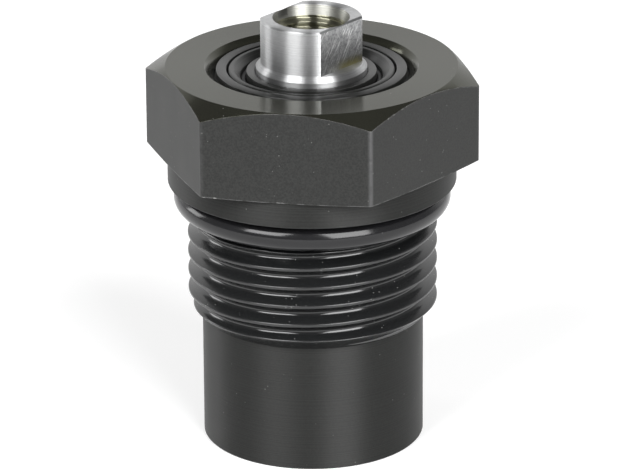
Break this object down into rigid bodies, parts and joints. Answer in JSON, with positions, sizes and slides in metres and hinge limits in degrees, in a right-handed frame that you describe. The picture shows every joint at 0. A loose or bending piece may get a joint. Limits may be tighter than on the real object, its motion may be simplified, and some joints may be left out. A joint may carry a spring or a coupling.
{
  "type": "screw-in hydraulic cartridge",
  "caption": "Screw-in hydraulic cartridge with a hex head, O-ring port thread and plain nose; oil pressure lifts a tapped plunger, then a collet clamps it.",
  "frame": {"origin": "on the axis, at the flat bottom of the nose", "axes": "+Z along the plunger, out of the hex; +X through a corner of the hex"},
  "size_m": [0.0362, 0.0314, 0.0473],
  "materials": {
    "black_oxide": "satin",
    "black_rings": "satin",
    "bright_steel": "polished",
    "inner_steel": "satin",
    "spring_steel": "satin",
    "collet_bronze": "satin",
    "filter_bronze": "matte",
    "seal_rubber": "gloss",
    "backup_plastic": "matte"
  },
  "bodies": {
    "housing": {"body": "black_oxide", "port_o_ring": "seal_rubber", "inlet_filter": "filter_bronze", "filter_snap_ring": "spring_steel", "collet": "collet_bronze", "gland": "black_rings", "gland_o_ring": "seal_rubber", "lock_ring": "black_rings", "scraper_ring": "black_rings", "scraper_energizer": "seal_rubber"},
    "lock_group": {"lock_piston": "inner_steel", "lock_piston_o_ring": "seal_rubber", "lock_piston_backup_ring": "backup_plastic", "piston_stop_ring": "spring_steel", "disc_springs": "spring_steel"},
    "advance_group": {"advance_piston": "inner_steel", "advance_piston_o_ring": "seal_rubber", "advance_piston_backup_ring": "backup_plastic", "spring_seat": "inner_steel", "advance_spring": "spring_steel", "return_spring": "spring_steel"},
    "plunger_group": {"plunger": "bright_steel", "plunger_snap_ring": "spring_steel"}
  },
  "joints": [
    {"name": "plunger_advance", "type": "slide", "parent": "housing", "child": "advance_group", "axis": [0, 0, 1], "range_m": [0, 0.006], "stiffness_N_per_m": 2200, "springref_m": -0.002, "deforming": ["return_spring"]},
    {"name": "plunger_spin", "type": "hinge", "parent": "advance_group", "child": "plunger_group", "pos_m": [0, 0, 0.044], "axis": [0, 0, 1], "continuous": true},
    {"name": "lock_slide", "type": "slide", "parent": "housing", "child": "lock_group", "axis": [0, 0, 1], "range_m": [0, 0.0006], "stiffness_N_per_m": 20000, "springref_m": -0.0004, "deforming": ["disc_springs"]}
  ]
}
